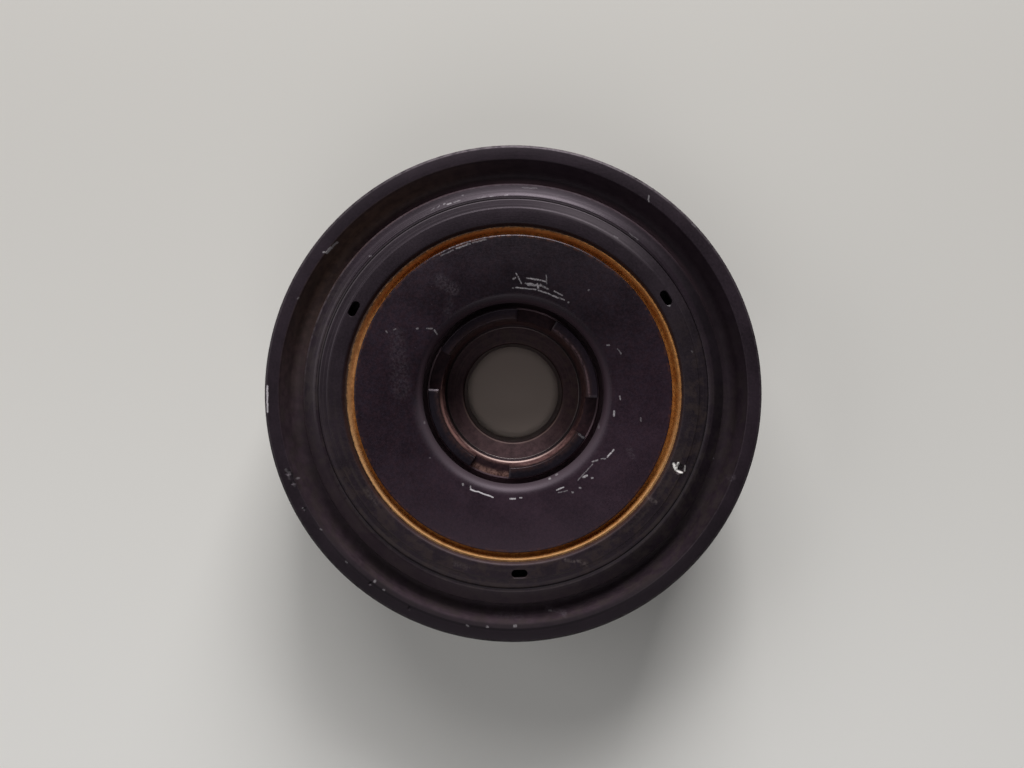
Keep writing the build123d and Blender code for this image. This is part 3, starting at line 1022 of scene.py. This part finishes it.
def rubber_finish():
    coat = Coat("dusty_rubber", specular=0.15)
    ragged_radius = coat.ragged_radius(0.7, 1)
    upper_left = coat.arc(135, 85, 35)
    bead_start = coat.blend(upper_left, rubber_outer_radius - 0.8, rubber_outer_radius - 1.6)
    bead_end = coat.blend(upper_left, rubber_outer_radius + 0.5, rubber_outer_radius - 0.3)
    dusty = coat.layers(
        coat.mix(coat.patches(0.12, 0.35, 0.65), rust_orange, rgb(176, 118, 60)),
        # painted light on the left side
        (rust_pale, coat.arc(167, 18, 16), 0.45),
        # caked dust and its grain
        (rust_dark, coat.patches(0.9, 0.4, 0.7, 0.7), 0.6),
        (rgb(60, 34, 16), coat.patches(3, 0.5, 0.7, 0.6), 0.35),
        # pale bead of dust, stronger on the lower side as painted light, and the clean edge outside it
        (rust_pale, coat.ramp(ragged_radius, bead_start, coat.math("ADD", bead_start, 0.9)),
         coat.blend(coat.arc(262, 84, 28), 0.15, 0.7)),
        (rgb(58, 42, 36), coat.ramp(ragged_radius, bead_end, coat.math("ADD", bead_end, 0.5))),
    )
    base = coat.mix(coat.above(rubber_front_depth + 9.6, 1), rgb(26, 23, 22), dusty)
    return coat.close(base, 0.88, 0, coat.noise(3, 4, 0.75), 0.18)


# ---- hub core ----

# on the lug faces: painted highlights on the corners beside the slots
LUG_CORNER_HIGHLIGHTS = [
    (22.5, -14, 24.8, -15.8, 0.55, 0.12), (13.6, 22.4, 15, 24.6, 0.4, 0.1),
    (15.2, 24.8, 18.4, 22.6, 0.34, 0.06), (-26.2, 2.3, -26, 0.4, 0.4, 0.05),
]


def core_finish():
    coat = Coat("core_steel", tint=paint_sheen)
    blue_black, tone = black_paint(coat, rgb(11, 9, 14), rgb(23, 19, 27))
    painted_light_upper = coat.mix(tone, rgb(26, 20, 27), rgb(48, 37, 46))
    inner_edge = coat.ramp(coat.radius, recess_front_radius + 0.3, recess_front_radius + 2.2, 1, 0)
    # painted light on the upper lugs, which lie in shade
    blue_black = coat.layers(blue_black, (painted_light_upper, coat.arc(80, 80, 30)))
    lug_face = coat.mix(coat.both(inner_edge, coat.patches(0.8, 0.3, 0.6)), blue_black, rgb(44, 30, 29))
    slot_floor = coat.deeper(slot_floor_depth - 0.3, slot_floor_depth - 0.1)
    slot_dark = coat.mix(coat.patches(0.6, 0.3, 0.7), rgb(30, 19, 23), rgb(50, 33, 36))
    # rust on the outer slot floors, shown only in the lower slot as painted light
    low_slot = coat.arc(253, 30, 5)
    lit_outer_slot = coat.both(coat.beyond(recess_front_radius + 1.2, recess_front_radius + 2.8), low_slot)
    slot_rust = coat.mix(coat.patches(0.9, 0.35, 0.65, 0.75), rgb(60, 40, 36), rgb(132, 102, 94))
    slot_colour = coat.mix(lit_outer_slot, slot_dark, slot_rust)
    lug_face = coat.layers(
        lug_face,
        # painted highlight on the outer edges of the upper lugs, and lighter inner edges at the upper right
        (faded_mark_and_highlight, coat.ring(lug_outer_radius - 0.5, far_out, 0.1), coat.above(lug_front_depth + 0.4),
         coat.arc(112, 36, 8), 0.6),
        (rgb(116, 92, 96), coat.ring(0, recess_front_radius + 0.7, 0.15), coat.arc(22, 36, 8),
         coat.patches(0.9, 0.35, 0.6), 0.4),
    )
    lugs = coat.mix(slot_floor, lug_face, slot_colour)
    copper = coat.mix(coat.patches(0.5, 0.3, 0.7), rgb(80, 51, 49), rgb(130, 98, 95))
    foot_highlight = coat.both(coat.deeper(seat_depth - 7.5, seat_depth - 5.5), coat.arc(268, 30, 28))
    shaded_cone = coat.mix(coat.patches(0.5, 0.35, 0.65), rgb(46, 27, 29), rgb(68, 46, 42))
    copper = coat.layers(
        copper,
        (rgb(54, 34, 34), coat.patches(1.4, 0.48, 0.66, 0.75)),
        # painted highlight at the foot of the cone, on the lower side
        (rgb(246, 214, 204), foot_highlight, 0.9),
        # pale upper edge
        (rgb(206, 156, 146), coat.between(coat.depth, lug_front_depth + 1.5, lug_front_depth + 7, 1),
         coat.arc(203, 20, 12), 0.4),
        # darker at the front of the cone, below the lower slot
        (rgb(52, 34, 33), coat.ramp(coat.depth, seat_depth - 9.5, seat_depth - 8, 1, 0),
         coat.arc(255, 21, 8), 0.8),
    )
    # copper cone on the lower side, a painted shaded copy of it elsewhere
    copper = coat.mix(coat.arc(251, 74, 12), shaded_cone, copper)
    in_recess = coat.beyond(recess_front_radius - 0.15, recess_front_radius - 0.5)
    body = coat.mix(in_recess, lugs, copper)
    seat_tone = coat.mix(coat.patches(0.5, 0.3, 0.7, 0.75), rgb(40, 25, 28), rgb(60, 42, 44))
    painted_lit_seat = coat.mix(coat.patches(0.5, 0.3, 0.7, 0.75), rgb(60, 46, 48), rgb(88, 68, 70))
    seat_tone = coat.layers(
        seat_tone,
        # painted light on the lower side of the seat
        (painted_lit_seat, coat.arc(262, 50, 25)),
        (rgb(84, 70, 68), coat.ramp(coat.turning(0.5), 0.4, 0.7), 0.22),
        # stain
        (rgb(60, 50, 36), coat.patches(0.25, 0.45, 0.6, 0.7), coat.arc(45, 75, 25), 0.35),
        (rgb(36, 26, 26), coat.ring(0, bore_radius + 0.35, 0.1)),
        # painted highlight on the lower edge of the bore
        (rgb(140, 118, 108), coat.ring(bore_radius + 0.45, bore_radius + 0.85, 0.1), coat.arc(262, 75, 20),
         0.35),
    )
    rear = coat.deeper(barrel_rear_depth + 0.5, barrel_rear_depth + 1.5)
    end_face = coat.deeper(overall_length - 1.2, overall_length - 0.9)
    outside = coat.either(coat.beyond(bore_radius + 5.9, bore_radius + 6.2), end_face)
    steel = coat.mix(coat.turning(0.25), rgb(70, 66, 64), plain_steel)
    machined = coat.both(rear, outside)
    metal = coat.blend(machined, coat.both(in_recess, coat.math("SUBTRACT", 1, foot_highlight), 0.25), 0.9)
    roughness = coat.blend(in_recess, coat.blend(tone, 0.32, 0.45), 0.42)
    roughness = coat.blend(machined, roughness, 0.28)
    height = coat.relief(0.4, 0.3, 1.8, 4, 0.65)
    body = coat.layers(
        body,
        # washer seat
        (seat_tone, coat.deeper(seat_depth - 0.25, seat_depth - 0.1)),
        (bare_scratch, coat.scratches(LUG_CORNER_HIGHLIGHTS), coat.above(lug_front_depth + 0.4)),
        # painted light in the gap between disc and lugs, which lies in shade
        (painted_gap_light, coat.beyond(lug_outer_radius + 0.1, lug_outer_radius + 0.3),
         coat.deeper(lug_front_depth + 4, lug_front_depth + 6)),
        (steel, machined),
    )
    return coat.close(body, roughness, metal, height, 0.04)


finish_piece(pulley, "pulley_ring", pulley_finish())
finish_piece(inertia, "inertia_ring", ring_finish())
finish_piece(rubber, "damper_rubber", rubber_finish())
finish_piece(disc, "hub_disc", disc_finish())
finish_piece(core, "hub_core", core_finish())


# ---- floor, light and camera ----

def floor_piece():
    """A plain pale floor, with painted shade where it shows through the bore, lighter towards the bottom
    there.
    """
    bpy.ops.mesh.primitive_plane_add(size=6)
    floor = bpy.context.object
    floor.name = "floor"
    coat = Coat("floor_pale", specular=0.1)
    across = coat.add("SeparateXYZ", {0: coat.point}).outputs["Y"]
    pale = coat.mix(coat.ramp(across, -260, 160), rgb(246, 244, 240), rgb(206, 203, 198))
    through_bore = coat.ramp(coat.radius, bore_radius + 1, bore_radius + 2, 1, 0)
    painted_bore_shade = coat.mix(coat.ramp(across, -bore_radius, bore_radius), rgb(152, 138, 131), rgb(114, 103, 98))
    base = coat.mix(through_bore, pale, painted_bore_shade)
    floor.data.materials.append(coat.close(base, 0.9))


def stand(name, data, location):
    """Put a lamp or a camera in the scene."""
    thing = bpy.data.objects.new(name, data)
    thing.location = location
    bpy.context.scene.collection.objects.link(thing)
    return thing


def area_light(name, azimuth, elevation, distance, size, power):
    """A square soft light aimed at the part from that azimuth and elevation, in degrees."""
    turn = radians(azimuth)
    lift = radians(elevation)
    aim = Vector((0, 0, overall_length * MM))
    towards = Vector((cos(turn) * cos(lift), sin(turn) * cos(lift), sin(lift)))
    light = bpy.data.lights.new(name, "AREA")
    light.energy = power
    light.size = size
    lamp = stand(name, light, aim + towards * distance)
    lamp.rotation_euler = (-towards).to_track_quat("-Z", "Y").to_euler()


def bore_light(power):
    """A narrow lamp from above, so that the floor shows evenly through the bore."""
    height = overall_length + camera_distance
    light = bpy.data.lights.new("bore_lamp", "SPOT")
    light.energy = power
    light.shadow_soft_size = 0.002
    light.spot_size = 2 * atan(bore_radius / height)
    light.spot_blend = 0.15
    stand("bore_lamp", light, (0, 0, height * MM))


def world_light(level):
    """Faint light from all round."""
    world = bpy.data.worlds.new("room")
    bpy.context.scene.world = world
    world.use_nodes = True
    background = world.node_tree.nodes["Background"].inputs
    background["Color"].default_value = (0.93, 0.93, 1, 1)
    background["Strength"].default_value = level


def camera():
    """Straight above the front face, a little off the axis, as a phone is held."""
    view = bpy.data.cameras.new("camera")
    view.sensor_width = 36
    view.lens = 31.84
    view.clip_start = 0.01
    above_face = (-0.0004, 0.0032, (overall_length + camera_distance) * MM)
    bpy.context.scene.camera = stand("camera", view, above_face)


floor_piece()
# name, azimuth, elevation, distance, size, power
area_light("main_lamp", 81, 26, 1.5, 0.67, 20.8)
area_light("second_lamp", 104, 34, 1.5, 0.83, 8.3)
area_light("left_wall", 170, 30, 1.5, 1, 4.4)
area_light("table_bounce", 268, 48, 1.2, 0.86, 2.65)
bore_light(0.8)
world_light(0.03)
camera()
bpy.context.scene.view_settings.view_transform = "Standard"
